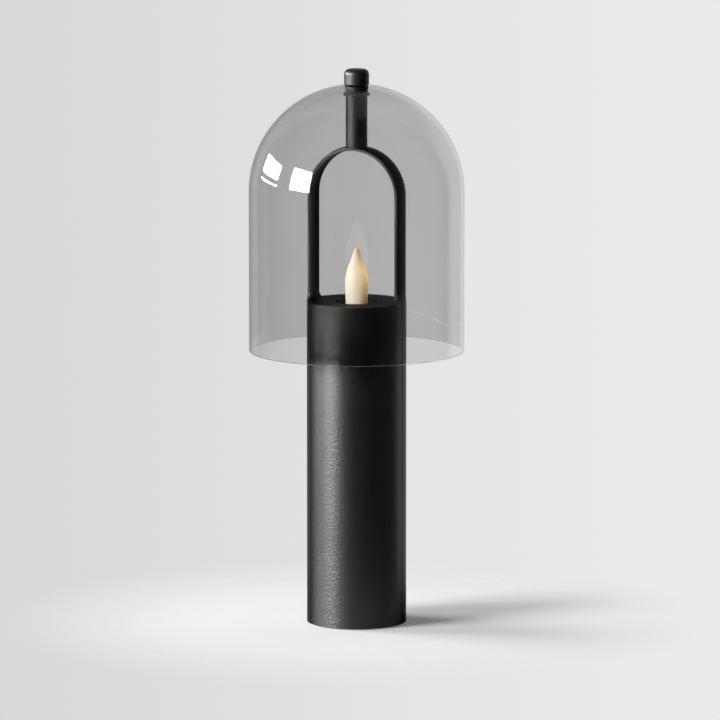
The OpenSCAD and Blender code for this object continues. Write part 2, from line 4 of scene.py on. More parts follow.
import bpy
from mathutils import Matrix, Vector


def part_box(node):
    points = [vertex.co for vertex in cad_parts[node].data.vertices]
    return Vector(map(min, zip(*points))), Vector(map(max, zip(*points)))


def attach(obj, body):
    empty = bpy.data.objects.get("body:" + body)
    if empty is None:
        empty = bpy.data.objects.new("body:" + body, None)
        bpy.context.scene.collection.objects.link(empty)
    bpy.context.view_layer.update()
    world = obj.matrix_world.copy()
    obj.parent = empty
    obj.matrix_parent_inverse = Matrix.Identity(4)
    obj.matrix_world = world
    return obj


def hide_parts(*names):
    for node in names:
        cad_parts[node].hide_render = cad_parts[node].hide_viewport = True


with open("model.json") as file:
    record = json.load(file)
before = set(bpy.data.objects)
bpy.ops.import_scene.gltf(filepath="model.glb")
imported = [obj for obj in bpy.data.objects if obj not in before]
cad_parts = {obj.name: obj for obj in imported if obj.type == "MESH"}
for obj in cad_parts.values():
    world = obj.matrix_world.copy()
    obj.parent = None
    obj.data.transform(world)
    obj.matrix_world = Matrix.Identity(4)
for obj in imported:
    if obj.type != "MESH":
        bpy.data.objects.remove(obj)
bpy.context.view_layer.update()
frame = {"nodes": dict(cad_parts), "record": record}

nodes = frame["nodes"]
mm = 0.001
print("frame loaded,", len(nodes), "nodes")


# Camera: far away with a long lens, looking down a little, the arch turned from it
cameraSet = {
    "distance": 4.86,
    "pitch": math.radians(8.62),
    "turn": math.radians(23.2),
    "lens": 376.2,
    "sensor": 36.0,
    "aimHeight": 0.17145,
    "imageWidth": 720,
    "axisPixel": 356.6,  # where the lamp's axis stands in the picture
    "clipEnd": 50,
}
turn = cameraSet["turn"]
toRight = Vector((math.cos(turn), math.sin(turn), 0))
toFront = Vector((math.sin(turn), -math.cos(turn), 0))
toUp = Vector((0, 0, 1))


def addCamera():
    data = bpy.data.cameras.new("lampCamera")
    data.lens = cameraSet["lens"]
    data.sensor_width = cameraSet["sensor"]
    data.clip_end = cameraSet["clipEnd"]
    camera = bpy.data.objects.new("lampCamera", data)
    bpy.context.scene.collection.objects.link(camera)
    pixelSize = cameraSet["sensor"] / cameraSet["imageWidth"] / cameraSet["lens"] * cameraSet["distance"]
    aside = (cameraSet["imageWidth"] / 2 - cameraSet["axisPixel"]) * pixelSize
    aim = toUp * cameraSet["aimHeight"] + toRight * aside
    outward = toFront * math.cos(cameraSet["pitch"]) + toUp * math.sin(cameraSet["pitch"])
    camera.location = aim + outward * cameraSet["distance"]
    camera.rotation_euler = outward.to_track_quat("Z", "Y").to_euler()
    bpy.context.scene.camera = camera


addCamera()
bpy.context.scene.view_settings.view_transform = "Standard"
print("camera set")


# Node helpers
def newMaterial(name):
    material = bpy.data.materials.new(name)
    material.use_nodes = True
    tree = material.node_tree
    shader = tree.nodes["Principled BSDF"]
    return material, tree, shader


def addNode(tree, kind, links=None, **values):
    node = tree.nodes.new(kind)
    for key, value in values.items():
        setattr(node, key, value)
    for socket, value in (links or {}).items():
        if isinstance(value, bpy.types.NodeSocket):
            tree.links.new(value, node.inputs[socket])
        else:
            node.inputs[socket].default_value = value
    return node


def newGroup(name, inputs, outputs):
    group = bpy.data.node_groups.new(name, "ShaderNodeTree")
    for label, kind, value in inputs:
        socket = group.interface.new_socket(label, in_out="INPUT", socket_type=kind)
        socket.default_value = value
    for label, kind in outputs:
        group.interface.new_socket(label, in_out="OUTPUT", socket_type=kind)
    entry = group.nodes.new("NodeGroupInput")
    leave = group.nodes.new("NodeGroupOutput")
    return group, entry, leave


def useGroup(tree, group, **values):
    return addNode(tree, "ShaderNodeGroup", values, node_tree=group)


def addMath(tree, operation, first, second):
    return addNode(tree, "ShaderNodeMath", {0: first, 1: second}, operation=operation).outputs[0]


def addSpread(tree, value, low, high, toLow=0.0, toHigh=1.0, kind="SMOOTHSTEP"):
    links = {"Value": value, "From Min": low, "From Max": high, "To Min": toLow, "To Max": toHigh}
    return addNode(tree, "ShaderNodeMapRange", links, interpolation_type=kind).outputs[0]


def addNoise(tree, place, scale, detail):
    return addNode(tree, "ShaderNodeTexNoise", {"Vector": place, "Scale": scale, "Detail": detail}).outputs[0]


def addHeight(tree, place):
    return addNode(tree, "ShaderNodeSeparateXYZ", {"Vector": place}).outputs["Z"]


# The level part of a direction, with length 1
def addHeading(tree, direction):
    level = addNode(tree, "ShaderNodeVectorMath", {0: direction, 1: (1, 1, 0)}, operation="MULTIPLY")
    return addNode(tree, "ShaderNodeVectorMath", {0: level.outputs[0]}, operation="NORMALIZE").outputs[0]


def addDot(tree, direction, way):
    links = {0: direction, 1: tuple(way)}
    return addNode(tree, "ShaderNodeVectorMath", links, operation="DOT_PRODUCT").outputs["Value"]


# Pebbled skin of a powder coat or a moulded face: fine grains over broader swells
grainSet = {
    "fine": 2400,
    "fineDetail": 2,
    "broad": 900,
    "broadDetail": 1,
    "share": 0.5,  # of the swells in the height
    "patch": 45,
    "patchDetail": 3,
}


def makeGrainGroup():
    group, entry, leave = newGroup(
        "surfaceGrain",
        [
            ("Fine", "NodeSocketFloat", grainSet["fine"]),
            ("Broad", "NodeSocketFloat", grainSet["broad"]),
            ("Share", "NodeSocketFloat", grainSet["share"]),
        ],
        [("Height", "NodeSocketFloat"), ("Patch", "NodeSocketFloat")],
    )
    place = addNode(group, "ShaderNodeTexCoord").outputs["Object"]
    fine = addNoise(group, place, entry.outputs["Fine"], grainSet["fineDetail"])
    broad = addNoise(group, place, entry.outputs["Broad"], grainSet["broadDetail"])
    patch = addNoise(group, place, grainSet["patch"], grainSet["patchDetail"])
    blend = addNode(group, "ShaderNodeMix", {0: entry.outputs["Share"], 2: fine, 3: broad})
    group.links.new(blend.outputs[0], leave.inputs["Height"])
    group.links.new(patch, leave.inputs["Patch"])
    return group


# Two tones of one colour, in soft patches
toneSet = {
    "tone": (0.5, 0.5, 0.5),
    "deep": (0.4, 0.4, 0.4),
    "scale": 60,
    "detail": 4,
    "span": (0.35, 0.65),  # of the noise, from one tone to the other
}


def makeToneGroup():
    group, entry, leave = newGroup(
        "toneDrift",
        [
            ("Tone", "NodeSocketColor", (*toneSet["tone"], 1)),
            ("Deep", "NodeSocketColor", (*toneSet["deep"], 1)),
            ("Scale", "NodeSocketFloat", toneSet["scale"]),
        ],
        [("Color", "NodeSocketColor"), ("Mask", "NodeSocketFloat")],
    )
    place = addNode(group, "ShaderNodeTexCoord").outputs["Object"]
    noise = addNoise(group, place, entry.outputs["Scale"], toneSet["detail"])
    mask = addSpread(group, noise, *toneSet["span"], kind="LINEAR")
    tones = {0: mask, 6: entry.outputs["Tone"], 7: entry.outputs["Deep"]}
    blend = addNode(group, "ShaderNodeMix", tones, data_type="RGBA")
    group.links.new(blend.outputs[2], leave.inputs["Color"])
    group.links.new(mask, leave.inputs["Mask"])
    return group


# Fine lines left by turning, round the Z axis
turnedSet = {
    "lines": 4000,
    "detail": 2,
    "drift": 220,
    "bump": (0.2, 0.02 * mm),
}


def makeTurnedGroup():
    group, entry, leave = newGroup(
        "turnedLines",
        [("Lines", "NodeSocketFloat", turnedSet["lines"])],
        [("Height", "NodeSocketFloat")],
    )
    place = addNode(group, "ShaderNodeTexCoord").outputs["Object"]
    parts = addNode(group, "ShaderNodeSeparateXYZ", {"Vector": place})
    flat = addNode(group, "ShaderNodeCombineXYZ", {"X": parts.outputs["X"], "Y": parts.outputs["Y"]})
    radius = addNode(group, "ShaderNodeVectorMath", {0: flat.outputs[0]}, operation="LENGTH")
    along = addNode(group, "ShaderNodeCombineXYZ", {"X": radius.outputs["Value"], "Y": parts.outputs["Z"]})
    lines = addNoise(group, along.outputs[0], entry.outputs["Lines"], turnedSet["detail"])
    group.links.new(lines, leave.inputs["Height"])
    return group


grainGroup = makeGrainGroup()
toneGroup = makeToneGroup()
turnedGroup = makeTurnedGroup()


def addBump(tree, shader, height, strength, depth):
    bump = addNode(tree, "ShaderNodeBump", {"Height": height, "Strength": strength, "Distance": depth})
    tree.links.new(bump.outputs[0], shader.inputs["Normal"])


def addRoughness(tree, shader, mask, low, high):
    spread = addSpread(tree, mask, 0, 1, low, high, kind="LINEAR")
    tree.links.new(spread, shader.inputs["Roughness"])


# One finish with a grain: painted, moulded and rubber faces. A textured skin shines less where it is seen
# along its face. Painted shade: the tube's wall reflects less above the cover than below, so the legs and
# arch in the dome read darker
skinSet = {
    "drift": 70,
    "fullShine": 0.5,
    "edgeSpan": (0.3, 0.62),  # from full shine to the edge's shine, as 1 less the cosine of the view
    # Painted shade above the cover: where the edge's full shine ends there, how many times less the edge
    # shines there, and over what height that sets in
    "paintedShadeEnd": 0.4,  # where that ends above the cover
    "paintedShadeShare": 3,  # how many times less the edge shines there
    "paintedShadeReach": 10 * mm,
}


def grainyFinish(name, tone, deep, roughness, grain, bump, ior=1.5, edgeShine=None, paintedShadeFrom=None):
    material, tree, shader = newMaterial(name)
    drift = useGroup(tree, toneGroup, Tone=(*tone, 1), Deep=(*deep, 1), Scale=skinSet["drift"])
    skin = useGroup(tree, grainGroup, Fine=grain[0], Broad=grain[1], Share=grain[2])
    tree.links.new(drift.outputs["Color"], shader.inputs["Base Color"])
    addRoughness(tree, shader, skin.outputs["Patch"], *roughness)
    addBump(tree, shader, skin.outputs["Height"], *bump)
    shader.inputs["IOR"].default_value = ior
    if edgeShine is not None:
        facing = addNode(tree, "ShaderNodeLayerWeight").outputs["Facing"]
        start, end = skinSet["edgeSpan"]
        endShine = edgeShine
        # Painted shade: above the cover the coat reflects less, so the legs and arch inside the dome read
        # darker
        if paintedShadeFrom is not None:
            height = addHeight(tree, addNode(tree, "ShaderNodeTexCoord").outputs["Object"])
            rise = (height, paintedShadeFrom, paintedShadeFrom + skinSet["paintedShadeReach"])
            end = addSpread(tree, *rise, end, skinSet["paintedShadeEnd"], kind="LINEAR")
            endShine = addSpread(tree, *rise, edgeShine, edgeShine / skinSet["paintedShadeShare"], kind="LINEAR")
        shine = addSpread(tree, facing, start, end, skinSet["fullShine"], endShine)
        tree.links.new(shine, shader.inputs["Specular IOR Level"])
    return material


# One finish with turned lines: plated screws and the spun plate
def turnedFinish(name, tone, deep, roughness, lines):
    material, tree, shader = newMaterial(name)
    drift = useGroup(tree, toneGroup, Tone=(*tone, 1), Deep=(*deep, 1), Scale=turnedSet["drift"])
    cut = useGroup(tree, turnedGroup, Lines=lines)
    tree.links.new(drift.outputs["Color"], shader.inputs["Base Color"])
    addRoughness(tree, shader, cut.outputs["Height"], *roughness)
    addBump(tree, shader, cut.outputs["Height"], *turnedSet["bump"])
    shader.inputs["Metallic"].default_value = 1.0
    return material


glassSet = {
    "tint": (0.795, 0.795, 0.80),
    "deep": (0.78, 0.78, 0.785),
    "ior": 1.45,
    "haze": (0.0, 0.012),
    "drift": 18,
}


def makeGlass():
    material, tree, shader = newMaterial("smokedGlass")
    tones = {"Tone": (*glassSet["tint"], 1), "Deep": (*glassSet["deep"], 1)}
    drift = useGroup(tree, toneGroup, **tones, Scale=glassSet["drift"])
    tree.links.new(drift.outputs["Color"], shader.inputs["Base Color"])
    addRoughness(tree, shader, drift.outputs["Mask"], *glassSet["haze"])
    shader.inputs["Transmission Weight"].default_value = 1.0
    shader.inputs["IOR"].default_value = glassSet["ior"]
    return material


flameSet = {
    "tone": (0.70, 0.71, 0.70),
    "deep": (0.67, 0.67, 0.64),
    "depth": 2.5 * mm,
    "spread": (1.0, 0.55, 0.25),
    "softness": 0.1,
    "roughness": (0.38, 0.48),
    "drift": 160,
    "grain": {"Fine": 900, "Broad": 300, "Share": 0.6},
    "bump": (0.15, 0.1 * mm),
    # share of the height from foot to tip, and the glow there on the pale and on the amber side: a warm LED
    # glow, with painted light on the pale side, which faces the lamps, and painted shade on the amber side
    # away from them
    "ledGlowAndPaintedLight": [
        (0.0, (0.54, 0.45, 0.32), (0.18, 0.11, 0.04)),
        (0.25, (0.64, 0.50, 0.30), (0.48, 0.31, 0.13)),
        (0.55, (0.80, 0.59, 0.33), (0.96, 0.68, 0.31)),
        (1.0, (0.54, 0.38, 0.21), (0.34, 0.17, 0.05)),
    ],
    # where the painted shade of the amber side begins and ends round the flame, as a cosine towards the
    # camera's right, away from the lamps, and what that painted shade does to the tone
    "paintedShadeSpan": (0.1, 0.8),
    "paintedShadeTint": (0.94, 0.84, 0.64),
}


def addRamp(tree, factor, stops):
    ramp = addNode(tree, "ShaderNodeValToRGB", {"Fac": factor})
    elements = ramp.color_ramp.elements
    for number, (share, color) in enumerate(stops):
        stop = elements[number] if number < len(elements) else elements.new(share)
        stop.position = share
        stop.color = (*color, 1)
    return ramp.outputs["Color"]


def makeFlame():
    material, tree, shader = newMaterial("ivoryFlame")
    tones = {"Tone": (*flameSet["tone"], 1), "Deep": (*flameSet["deep"], 1)}
    drift = useGroup(tree, toneGroup, **tones, Scale=flameSet["drift"])
    skin = useGroup(tree, grainGroup, **flameSet["grain"])
    addRoughness(tree, shader, drift.outputs["Mask"], *flameSet["roughness"])
    addBump(tree, shader, skin.outputs["Height"], *flameSet["bump"])
    shader.inputs["Subsurface Weight"].default_value = flameSet["softness"]
    shader.inputs["Subsurface Radius"].default_value = flameSet["spread"]
    shader.inputs["Subsurface Scale"].default_value = flameSet["depth"]
    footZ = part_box("top_cover")[1].z
    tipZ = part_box("flame_diffuser")[1].z
    place = addNode(tree, "ShaderNodeTexCoord").outputs["Object"]
    rise = addSpread(tree, addHeight(tree, place), footZ, tipZ, kind="LINEAR")
    # Painted shade: the flame's side away from the lamps on the left is tinted amber and glows less, and its
    # side towards them glows more as painted light
    side = addSpread(tree, addDot(tree, addHeading(tree, place), toRight), *flameSet["paintedShadeSpan"])
    paintedShadeTinted = addNode(
        tree,
        "ShaderNodeMix",
        {0: side, 6: drift.outputs["Color"], 7: (*flameSet["paintedShadeTint"], 1)},
        data_type="RGBA",
        blend_type="MULTIPLY",
    )
    tree.links.new(paintedShadeTinted.outputs[2], shader.inputs["Base Color"])
    # Glow up the flame: a warm LED glow, with painted light on the side towards the lamps and painted shade
    # on the side away from them
    paintedLitGlow = addRamp(tree, rise, [(share, pale) for share, pale, paintedShadeColor in flameSet["ledGlowAndPaintedLight"]])
    paintedShadeGlow = addRamp(tree, rise, [(share, paintedShadeColor) for share, pale, paintedShadeColor in flameSet["ledGlowAndPaintedLight"]])
    ledGlowAndPaintedLight = addNode(tree, "ShaderNodeMix", {0: side, 6: paintedLitGlow, 7: paintedShadeGlow}, data_type="RGBA")
    tree.links.new(ledGlowAndPaintedLight.outputs[2], shader.inputs["Emission Color"])
    shader.inputs["Emission Strength"].default_value = 1.0
    return material


coatTones = [(0.006, 0.006, 0.0062), (0.0045, 0.0045, 0.0047)]
coatSkin = {
    "roughness": (0.31, 0.35),
    "grain": (1500, 700, 0.5),
    "bump": (1.0, 0.18 * mm),
    "ior": 2.0,
    "edgeShine": 0.018,
}
capSkin = {
    "roughness": (0.43, 0.49),
    "grain": (1500, 700, 0.5),
    "bump": (1.0, 0.06 * mm),
    "ior": 1.6,
    "edgeShine": 0.1,
}

# By slot. A grainy finish has two tones, roughness, grain (fine, broad, share) and bump (strength, depth),
# and a turned one has two tones, roughness and lines
finishes = {
    # The tube's coat carries the painted shade above the cover
    "black_coat": grainyFinish("blackCoat", *coatTones, **coatSkin, paintedShadeFrom=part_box("top_cover")[1].z),
    "cover_black": grainyFinish(
        "coverBlack", (0.011, 0.011, 0.0115), (0.009, 0.009, 0.009),
        (0.42, 0.5), (2400, 900, 0.4), (0.12, 0.03 * mm), edgeShine=0.015,
    ),
    "black_silicone": grainyFinish(
        "blackSilicone", (0.012, 0.012, 0.012), (0.018, 0.018, 0.018),
        (0.6, 0.72), (1800, 500, 0.5), (0.1, 0.03 * mm),
    ),
    "black_plastic": grainyFinish(
        "blackPlastic", (0.014, 0.014, 0.0145), (0.02, 0.02, 0.02),
        (0.45, 0.55), (3000, 1200, 0.5), (0.12, 0.03 * mm),
    ),
    "board_green": grainyFinish(
        "boardGreen", (0.018, 0.12, 0.05), (0.014, 0.1, 0.045),
        (0.25, 0.35), (1500, 400, 0.5), (0.06, 0.02 * mm),
    ),
    "board_white": grainyFinish(
        "boardWhite", (0.78, 0.78, 0.75), (0.72, 0.72, 0.69),
        (0.3, 0.4), (1500, 400, 0.5), (0.06, 0.02 * mm),
    ),
    "led_yellow": grainyFinish(
        "chipYellow", (0.85, 0.6, 0.1), (0.78, 0.52, 0.07),
        (0.2, 0.3), (3000, 900, 0.5), (0.05, 0.01 * mm),
    ),
    "cell_wrap": grainyFinish(
        "cellWrap", (0.045, 0.15, 0.32), (0.035, 0.13, 0.29),
        (0.2, 0.28), (700, 200, 0.5), (0.05, 0.03 * mm),
    ),
    "plunger_white": grainyFinish(
        "plungerWhite", (0.72, 0.72, 0.69), (0.66, 0.66, 0.63),
        (0.3, 0.4), (2500, 800, 0.5), (0.06, 0.02 * mm),
    ),
    "lead_red": grainyFinish(
        "leadRed", (0.38, 0.018, 0.013), (0.32, 0.014, 0.01),
        (0.35, 0.45), (2500, 800, 0.5), (0.06, 0.02 * mm),
    ),
    "zinc_steel": turnedFinish("zincSteel", (0.56, 0.56, 0.55), (0.46, 0.46, 0.45), (0.28, 0.42), 5000),
    "spun_aluminium": turnedFinish("spunAluminium", (0.7, 0.7, 0.71), (0.62, 0.62, 0.63), (0.3, 0.4), 3500),
    "smoked_glass": makeGlass(),
    "flame_ivory": makeFlame(),
}


# The cap is rougher than the rest of the coated metal, and the post keeps its shine, without the painted
# shade that darkens the legs and arch above the cover
ownFinish = {
    "finial": grainyFinish("capBlack", *coatTones, **capSkin),
    "post": grainyFinish("postBlack", *coatTones, **coatSkin),
}


def dressNodes():
    for entry in frame["record"]["subparts"]:
        mesh = nodes[entry["node"]].data
        mesh.materials.clear()
        mesh.materials.append(ownFinish.get(entry["node"], finishes[entry["material_slot"]]))


dressNodes()
print("finishes on all nodes")


# Modelling helpers
weldBy = 0.001 * mm  # points of a spun outline that are closer than this become one


def startFresh():
    if bpy.context.object and bpy.context.object.mode != "OBJECT":
        bpy.ops.object.mode_set(mode="OBJECT")
    bpy.ops.object.select_all(action="DESELECT")


def drawLine(name, points):
    startFresh()
    bpy.ops.mesh.primitive_plane_add(size=mm)
    piece = bpy.context.object
    piece.name = name
    bpy.ops.object.mode_set(mode="EDIT")
    bpy.ops.mesh.select_all(action="SELECT")
    bpy.ops.mesh.merge(type="CENTER")
    bpy.ops.transform.translate(value=points[0])
    for start, end in zip(points, points[1:]):
        bpy.ops.mesh.extrude_region_move(TRANSFORM_OT_translate={"value": Vector(end) - Vector(start)})
    return piece


def drawProfile(name, points):
    return drawLine(name, [(x, 0, z) for x, z in points])


# Selects the vertices or edges of a piece by where they are
def pick(piece, kind, test):
    bpy.ops.mesh.select_mode(type=kind)
    bpy.ops.mesh.select_all(action="DESELECT")
    bpy.ops.object.mode_set(mode="OBJECT")
    mesh = piece.data
    if kind == "VERT":
        for vertex in mesh.vertices:
            vertex.select = test(vertex.co)
    else:
        for edge in mesh.edges:
            edge.select = all(test(mesh.vertices[i].co) for i in edge.vertices)
    bpy.ops.object.mode_set(mode="EDIT")


def applyModifier(piece, kind, **values):
    modifier = piece.modifiers.new(kind.lower(), kind)
    for key, value in values.items():
        setattr(modifier, key, value)
    bpy.context.view_layer.objects.active = piece
    bpy.ops.object.modifier_apply(modifier=modifier.name)


def cutAway(piece, cutter):
    applyModifier(piece, "BOOLEAN", operation="DIFFERENCE", object=cutter, solver="EXACT")
    bpy.data.objects.remove(cutter)


def spinProfile(steps):
    bpy.ops.mesh.select_all(action="SELECT")
    bpy.ops.mesh.spin(steps=steps, angle=2 * math.pi, center=(0, 0, 0), axis=(0, 0, 1))
    bpy.ops.mesh.select_all(action="SELECT")
    bpy.ops.mesh.remove_doubles(threshold=weldBy)
    bpy.ops.mesh.normals_make_consistent(inside=False)
    bpy.ops.object.mode_set(mode="OBJECT")


def arcPoints(centre, radius, start, end, count):
    angles = [math.radians(start + (end - start) * i / count) for i in range(count + 1)]
    return [(centre[0] + radius * math.cos(a), centre[1] + radius * math.sin(a)) for a in angles]


# Glass dome: one wall drawn as a closed outline and spun round the lamp's axis
domeSet = {
    "wall": 1.6 * mm,
    "hole": 5.5 * mm,
    "crownSteps": 40,
    "rimSteps": 10,
    "skirtSteps": 8,
    "holdEdge": 0.15 * mm,  # a loop close to the round rim keeps the straight wall straight in the glass
    "turns": 180,
    "smooth": math.radians(40),
}


def makeDome():
    low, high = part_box("glass_dome")
    outer = high.x
    inner = outer - domeSet["wall"]
    hole = domeSet["hole"]
    centreZ = high.z - math.sqrt(outer ** 2 - hole ** 2)
    lip = domeSet["wall"] / 2
    rimZ = low.z + lip
    steps = domeSet["skirtSteps"]
    skirt = [rimZ + domeSet["holdEdge"]] + [rimZ + (centreZ - rimZ) * i / steps for i in range(1, steps)]
    outerTop = math.degrees(math.acos(hole / outer))
    innerTop = math.degrees(math.acos(hole / inner))
    points = arcPoints((0, centreZ), outer, outerTop, 0, domeSet["crownSteps"])
    points += [(outer, z) for z in reversed(skirt)]
    points += arcPoints((outer - lip, rimZ), lip, 0, -180, domeSet["rimSteps"])
    points += [(inner, z) for z in skirt]
    points += arcPoints((0, centreZ), inner, 0, innerTop, domeSet["crownSteps"])
    points.append(points[0])
    piece = drawProfile("glassDome", points)
    spinProfile(domeSet["turns"])
    bpy.ops.object.shade_smooth_by_angle(angle=domeSet["smooth"])
    piece.data.materials.append(finishes["smoked_glass"])
    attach(piece, "dome")
    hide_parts("glass_dome")


makeDome()
print("glass dome spun")


# Tube with its legs and arch, one wall: the rim's line is drawn and pulled down to the foot, the legs are
# pulled up, and the top of one leg is spun over to the other
bodySet = {
    "wall": 1.8 * mm,
    "rimAboveCover": 0.2 * mm,
    "fillet": 4.5 * mm,  # in the corners between legs and rim
    "filletSteps": 12,
    "filletKeep": 4,  # one in so many of its points has a column under it
    "legSteps": 7,  # columns in half a leg, and in a quarter of the rim
    "rimSteps": 40,
    "archSteps": 90,
    "edge": 0.35 * mm,
    "edgeSteps": 3,
    "edgeAngle": math.radians(50),
    "smooth": math.radians(35),
    "holeSides": 64,
    "buttonHole": 4.05 * mm,
    "inletGap": 0.3 * mm,
    "screwHole": 2.6 * mm,
    "screwSink": 4.4 * mm,
    "screwHead": 1.2 * mm,
    "closeBy": 0.01 * mm,
}


# A quarter of the rim's line, from the middle of a leg: (y, z)
def rimQuarter(radius, legHalf, rimZ):
    fillet = bodySet["fillet"]
    legTurn = math.asin(legHalf / radius)
    rimTurn = math.asin((legHalf + fillet) / radius)
    steps = bodySet["legSteps"]
    line = [(radius * math.sin(legTurn * i / steps), rimZ + fillet) for i in range(steps + 1)]
    line += arcPoints((legHalf + fillet, rimZ + fillet), fillet, 180, 270, bodySet["filletSteps"])[1:]
    steps = bodySet["rimSteps"]
    turns = [rimTurn + (math.pi / 2 - rimTurn) * i / steps for i in range(1, steps + 1)]
    return line + [(radius * math.sin(turn), rimZ) for turn in turns]


# A bar through the back wall, for the holes there
def addBar(radius, x, z, reach):
    place = {"location": (x, reach, z), "rotation": (math.pi / 2, 0, 0)}
    bpy.ops.mesh.primitive_cylinder_add(vertices=bodySet["holeSides"], radius=radius, depth=reach, **place)
    bpy.ops.object.transform_apply(location=True, rotation=True, scale=True)
    return bpy.context.object


def buttonCutter(reach):
    low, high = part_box("push_button")
    startFresh()
    return addBar(bodySet["buttonHole"], 0, (low.z + high.z) / 2, reach)


def inletCutter(reach):
    low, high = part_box("charge_inlet")
    gap = bodySet["inletGap"]
    end = (high.z - low.z) / 2 + gap
    startFresh()
    bars = [addBar(end, side * (high.x + gap - end), (low.z + high.z) / 2, reach) for side in (-1, 1)]
    for bar in bars:
        bar.select_set(True)
    bpy.ops.object.join()
    bpy.ops.object.mode_set(mode="EDIT")
    bpy.ops.mesh.select_all(action="SELECT")
    bpy.ops.mesh.convex_hull()
    bpy.ops.object.mode_set(mode="OBJECT")
    return bpy.context.object


def screwCutter(springZ, radius):
    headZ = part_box("post_screw")[0].z
    sink = bodySet["screwSink"]
    hole = bodySet["screwHole"]
    neckZ = headZ + bodySet["screwHead"]
    topZ = springZ + 2 * radius
    points = [(0, springZ), (sink, springZ), (sink, headZ), (hole, neckZ), (hole, topZ), (0, topZ)]
    cutter = drawProfile("screwCutter", points)
    spinProfile(bodySet["holeSides"])
    return cutter


def makeBody():
    close = bodySet["closeBy"]
    wall = bodySet["wall"]
    fillet = bodySet["fillet"]
    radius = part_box("body_tube")[1].x
    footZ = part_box("body_tube")[0].z
    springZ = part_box("yoke_arch")[0].z
    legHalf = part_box("yoke_arch")[1].y
    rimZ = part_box("top_cover")[1].z + bodySet["rimAboveCover"]
    quarter = [(math.sqrt(max(radius ** 2 - y ** 2, 0)), y, z) for y, z in rimQuarter(radius, legHalf, rimZ)]
    half = quarter + [(-x, y, z) for x, y, z in reversed(quarter[:-1])]
    ring = half + [(x, -y, z) for x, y, z in reversed(half[:-1])]
    piece = drawLine("bodyYoke", ring)
    bpy.ops.mesh.select_all(action="SELECT")
    bpy.ops.mesh.remove_doubles(threshold=close)
    bpy.ops.mesh.select_all(action="SELECT")
    bpy.ops.mesh.extrude_region_move(TRANSFORM_OT_translate={"value": (0, 0, footZ - rimZ)})
    bpy.ops.transform.resize(value=(1, 1, 0), center_override=(0, 0, footZ))

    # few columns under the fillets, so that the broken edge has space there
    arc = arcPoints((legHalf + fillet, 0), fillet, 180, 270, bodySet["filletSteps"])
    spare = [y for i, (y, _) in enumerate(arc) if i % bodySet["filletKeep"]] + [legHalf]
    pick(piece, "EDGE", lambda co: any(abs(abs(co.y) - y) < close for y in spare))
    bpy.ops.mesh.dissolve_edges(use_verts=False)

    legTop = rimZ + fillet
    pick(piece, "EDGE", lambda co: abs(co.z - legTop) < close)
    bpy.ops.mesh.extrude_region_move(TRANSFORM_OT_translate={"value": (0, 0, springZ - legTop)})
    pick(piece, "EDGE", lambda co: abs(co.z - springZ) < close and co.x > 0)
    bpy.ops.mesh.spin(steps=bodySet["archSteps"], angle=math.pi, center=(0, 0, springZ), axis=(0, 1, 0))
    bpy.ops.mesh.select_all(action="SELECT")
    bpy.ops.mesh.remove_doubles(threshold=close)
    bpy.ops.mesh.normals_make_consistent(inside=False)
    bpy.ops.object.mode_set(mode="OBJECT")
    applyModifier(piece, "SOLIDIFY", thickness=wall, offset=-1, use_even_offset=True)

    # the legs' cut faces stand square to the arch's plane, so the inner edges go out as far as the outer ones
    def onInnerEdge(co):
        reach = Vector((co.x, co.y, max(co.z - springZ, 0))).length
        outward = abs(co.y) * radius / (radius - wall)
        inside = reach < radius - wall / 2 and co.z > rimZ - close
        return inside and legHalf - close < outward < legHalf + fillet + close

    bpy.ops.object.mode_set(mode="EDIT")
    pick(piece, "VERT", onInnerEdge)
    bpy.ops.transform.resize(value=(1, radius / (radius - wall), 1), center_override=(0, 0, 0))
    bpy.ops.object.mode_set(mode="OBJECT")
    edge = {"width": bodySet["edge"], "segments": bodySet["edgeSteps"], "angle_limit": bodySet["edgeAngle"]}
    applyModifier(piece, "BEVEL", limit_method="ANGLE", **edge)
    cutAway(piece, buttonCutter(radius))
    cutAway(piece, inletCutter(radius))
    cutAway(piece, screwCutter(springZ, radius))
    bpy.ops.object.shade_smooth_by_angle(angle=bodySet["smooth"])
    piece.data.materials.append(finishes["black_coat"])
    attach(piece, "root")
    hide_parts("body_tube", "yoke_arch")


makeBody()
print("tube, legs and arch drawn")


# Floor: a pale round ground that fades into the pale surroundings
stageSet = {
    "floorColor": 0.645,
    "floorRadius": 0.24,
    "floorSides": 96,
    "fadeFrom": 0.08,
    "openWithin": 28 * mm,  # clear under the foot ring, and from below, so that the underside shows
    "lift": 0.12,  # paleness of the floor in the shade
    "mirrored": 0.19,  # the floor's paleness in the dark faces
    "backLeft": 0.70,  # the backdrop from its left to its right, as the camera sees it
    "backRight": 0.83,
    "backSpread": 0.05,
    "dim": 0.012,  # the studio in front and on the left, and on the right, as the lamp's faces see it
    "right": 0.05,
    "rightSpan": (0.3, 1.0),  # from one to the other, as a sine
    "wallLeft": 0.4,  # the lighter wall behind, from its left to its right
    "wallRight": 0.85,
    "wallSpan": (-0.3, 0.5),
    "wallFade": (0.25, 0.7),  # how high its light falls off, as a sine, and to what share
    "wallHigh": 0.33,
    "wallTurn": math.radians(8),  # where its middle stands, and where it ends to both sides of that
    "wallFrom": math.radians(62),
    "wallTo": math.radians(48),
}


